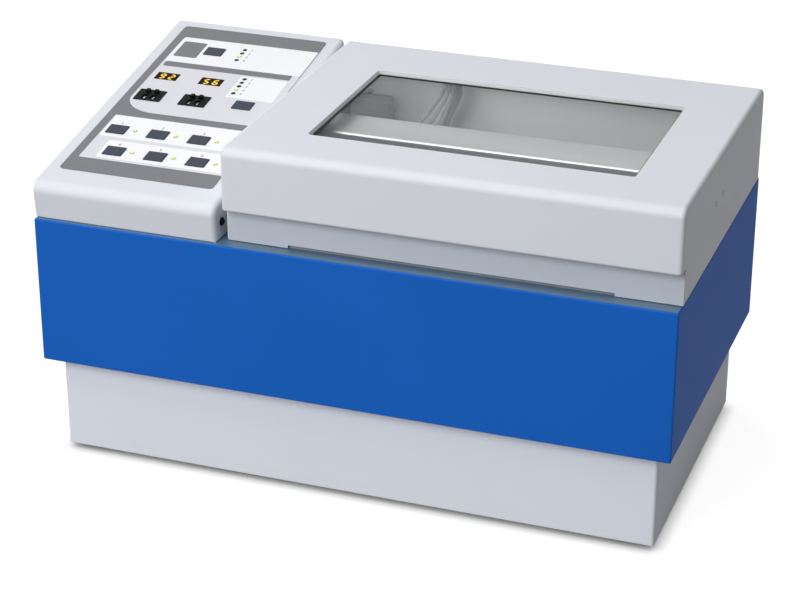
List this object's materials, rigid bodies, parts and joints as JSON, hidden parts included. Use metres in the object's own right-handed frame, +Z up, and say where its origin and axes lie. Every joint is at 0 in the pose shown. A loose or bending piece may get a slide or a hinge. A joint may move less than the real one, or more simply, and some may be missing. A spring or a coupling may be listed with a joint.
{
  "type": "sample evaporator",
  "caption": "Bench evaporator that blows gas over sample tubes in a heated water bath, with a hinged windowed lid, a sloping control panel and a rear exhaust",
  "frame": {"origin": "on the floor under the middle of the whole object's box", "axes": "+X to the right seen from the front, +Y to the back, +Z up"},
  "size_m": [0.6, 0.351, 0.3315],
  "materials": {
    "light_grey_cover": "satin moulded cover with fine orange peel",
    "light_grey_sheet": "satin powder coat",
    "blue_sheet": "semi-gloss blue paint",
    "panel_sheet": "matt printed sheet",
    "button_slate": "matt moulded caps",
    "black_plastic": "matt black",
    "wheel_black": "black drums with pale figures",
    "tab_grey": "dark push tabs",
    "display_red_brown": "dark display window",
    "lamp_lens": "small round lenses",
    "circuit_board": "green board",
    "bare_steel": "brushed stainless",
    "screw_steel": "bright screws",
    "manifold_alloy": "matt alloy channel",
    "rubber_black": "black rubber",
    "seal_rubber": "grey sponge rubber",
    "heater_rubber": "rust-coloured silicone mat",
    "clear_glass": "clear safety glass",
    "pale_tube": "pale flexible tube",
    "sensor_white": "white sensor housings",
    "fitting_brass": "plated brass fittings",
    "lever_red": "red lever"
  },
  "bodies": {
    "cabinet": {"base_pan": "light_grey_sheet", "bath_heater": "heater_rubber", "bath_seal": "seal_rubber", "bath_tank": "bare_steel", "cabinet_gas_lines": "pale_tube", "case_screws": "screw_steel", "control_board": "circuit_board", "control_housing": "light_grey_cover", "deck_plate": "blue_sheet", "drain_valve": "fitting_brass", "endpoint_sensors": "sensor_white", "exhaust_duct": "bare_steel", "exhaust_spigot": "black_plastic", "fan_case": "black_plastic", "gas_bulkhead": "black_plastic", "gas_inlet": "fitting_brass", "gas_lines": "pale_tube", "hinge_base_leaves": "bare_steel", "lid_sensor": "black_plastic", "middle_band": "blue_sheet", "number_displays": "display_red_brown", "panel_lamps": "lamp_lens", "panel_overlay": "panel_sheet", "power_inlet": "black_plastic", "power_supply": "bare_steel", "rack_base_plate": "bare_steel", "rack_handles": "bare_steel", "rack_top_plate": "bare_steel", "rubber_feet": "rubber_black", "temperature_probe": "bare_steel", "valve_bank": "black_plastic", "wheel_switch_frames": "black_plastic"},
    "lid": {"lid_shell": "light_grey_cover", "lid_front_rail": "light_grey_cover", "window_glass": "clear_glass", "window_gasket": "rubber_black", "gas_manifold": "manifold_alloy", "lid_screws": "screw_steel", "gas_nozzles": "bare_steel", "gas_feed_lines": "pale_tube", "hinge_lid_leaves": "bare_steel"},
    "mode_button": {"mode_button": "button_slate"},
    "select_button": {"select_button": "button_slate"},
    "cell_1_button": {"cell_1_button": "button_slate"},
    "cell_2_button": {"cell_2_button": "button_slate"},
    "cell_3_button": {"cell_3_button": "button_slate"},
    "cell_4_button": {"cell_4_button": "button_slate"},
    "cell_5_button": {"cell_5_button": "button_slate"},
    "cell_6_button": {"cell_6_button": "button_slate"},
    "temperature_tens_wheel": {"temperature_tens_wheel": "wheel_black"},
    "temperature_tens_tab": {"temperature_tens_tab": "tab_grey"},
    "temperature_units_wheel": {"temperature_units_wheel": "wheel_black"},
    "temperature_units_tab": {"temperature_units_tab": "tab_grey"},
    "time_tens_wheel": {"time_tens_wheel": "wheel_black"},
    "time_tens_tab": {"time_tens_tab": "tab_grey"},
    "time_units_wheel": {"time_units_wheel": "wheel_black"},
    "time_units_tab": {"time_units_tab": "tab_grey"},
    "fan_impeller": {"fan_impeller": "black_plastic"},
    "mains_rocker": {"mains_rocker": "black_plastic"},
    "drain_lever": {"drain_lever": "lever_red"}
  },
  "joints": [
    {"name": "lid_hinge", "type": "hinge", "parent": "cabinet", "child": "lid", "pos_m": [0, 0.156, 0.241], "axis": [-1, 0, 0], "range_deg": [0, 75], "deforming": ["gas_lines"]},
    {"name": "fan_spin", "type": "hinge", "parent": "cabinet", "child": "fan_impeller", "pos_m": [-0.0845, 0.137, 0.172], "axis": [0, 1, 0], "continuous": true},
    {"name": "mains_rock", "type": "hinge", "parent": "cabinet", "child": "mains_rocker", "pos_m": [-0.192, 0.1345, 0.054], "axis": [-1, 0, 0], "range_deg": [0, 18]},
    {"name": "drain_turn", "type": "hinge", "parent": "cabinet", "child": "drain_lever", "pos_m": [0.18, 0.1515, 0.0755], "axis": [0, 0, -1], "range_deg": [0, 90]},
    {"name": "mode_press", "type": "slide", "parent": "cabinet", "child": "mode_button", "axis": [0, 0.169, -0.9856], "range_m": [0, 0.0008], "stiffness_N_per_m": 600, "springref_m": -0.0005},
    {"name": "select_press", "type": "slide", "parent": "cabinet", "child": "select_button", "axis": [0, 0.169, -0.9856], "range_m": [0, 0.0008], "stiffness_N_per_m": 600, "springref_m": -0.0005},
    {"name": "cell_1_press", "type": "slide", "parent": "cabinet", "child": "cell_1_button", "axis": [0, 0.169, -0.9856], "range_m": [0, 0.0008], "stiffness_N_per_m": 600, "springref_m": -0.0005},
    {"name": "cell_2_press", "type": "slide", "parent": "cabinet", "child": "cell_2_button", "axis": [0, 0.169, -0.9856], "range_m": [0, 0.0008], "stiffness_N_per_m": 600, "springref_m": -0.0005},
    {"name": "cell_3_press", "type": "slide", "parent": "cabinet", "child": "cell_3_button", "axis": [0, 0.169, -0.9856], "range_m": [0, 0.0008], "stiffness_N_per_m": 600, "springref_m": -0.0005},
    {"name": "cell_4_press", "type": "slide", "parent": "cabinet", "child": "cell_4_button", "axis": [0, 0.169, -0.9856], "range_m": [0, 0.0008], "stiffness_N_per_m": 600, "springref_m": -0.0005},
    {"name": "cell_5_press", "type": "slide", "parent": "cabinet", "child": "cell_5_button", "axis": [0, 0.169, -0.9856], "range_m": [0, 0.0008], "stiffness_N_per_m": 600, "springref_m": -0.0005},
    {"name": "cell_6_press", "type": "slide", "parent": "cabinet", "child": "cell_6_button", "axis": [0, 0.169, -0.9856], "range_m": [0, 0.0008], "stiffness_N_per_m": 600, "springref_m": -0.0005},
    {"name": "temperature_tens_turn", "type": "hinge", "parent": "cabinet", "child": "temperature_tens_wheel", "pos_m": [-0.26665, -0.00453, 0.29855], "axis": [1, 0, 0], "continuous": true},
    {"name": "temperature_tens_press", "type": "slide", "parent": "cabinet", "child": "temperature_tens_tab", "axis": [0, 0.169, -0.9856], "range_m": [0, 0.0025], "stiffness_N_per_m": 250, "springref_m": -0.001},
    {"name": "temperature_units_turn", "type": "hinge", "parent": "cabinet", "child": "temperature_units_wheel", "pos_m": [-0.25786, -0.00453, 0.29855], "axis": [1, 0, 0], "continuous": true},
    {"name": "temperature_units_press", "type": "slide", "parent": "cabinet", "child": "temperature_units_tab", "axis": [0, 0.169, -0.9856], "range_m": [0, 0.0025], "stiffness_N_per_m": 250, "springref_m": -0.001},
    {"name": "time_tens_turn", "type": "hinge", "parent": "cabinet", "child": "time_tens_wheel", "pos_m": [-0.22031, -0.00453, 0.29855], "axis": [1, 0, 0], "continuous": true},
    {"name": "time_tens_press", "type": "slide", "parent": "cabinet", "child": "time_tens_tab", "axis": [0, 0.169, -0.9856], "range_m": [0, 0.0025], "stiffness_N_per_m": 250, "springref_m": -0.001},
    {"name": "time_units_turn", "type": "hinge", "parent": "cabinet", "child": "time_units_wheel", "pos_m": [-0.21151, -0.00453, 0.29855], "axis": [1, 0, 0], "continuous": true},
    {"name": "time_units_press", "type": "slide", "parent": "cabinet", "child": "time_units_tab", "axis": [0, 0.169, -0.9856], "range_m": [0, 0.0025], "stiffness_N_per_m": 250, "springref_m": -0.001}
  ]
}
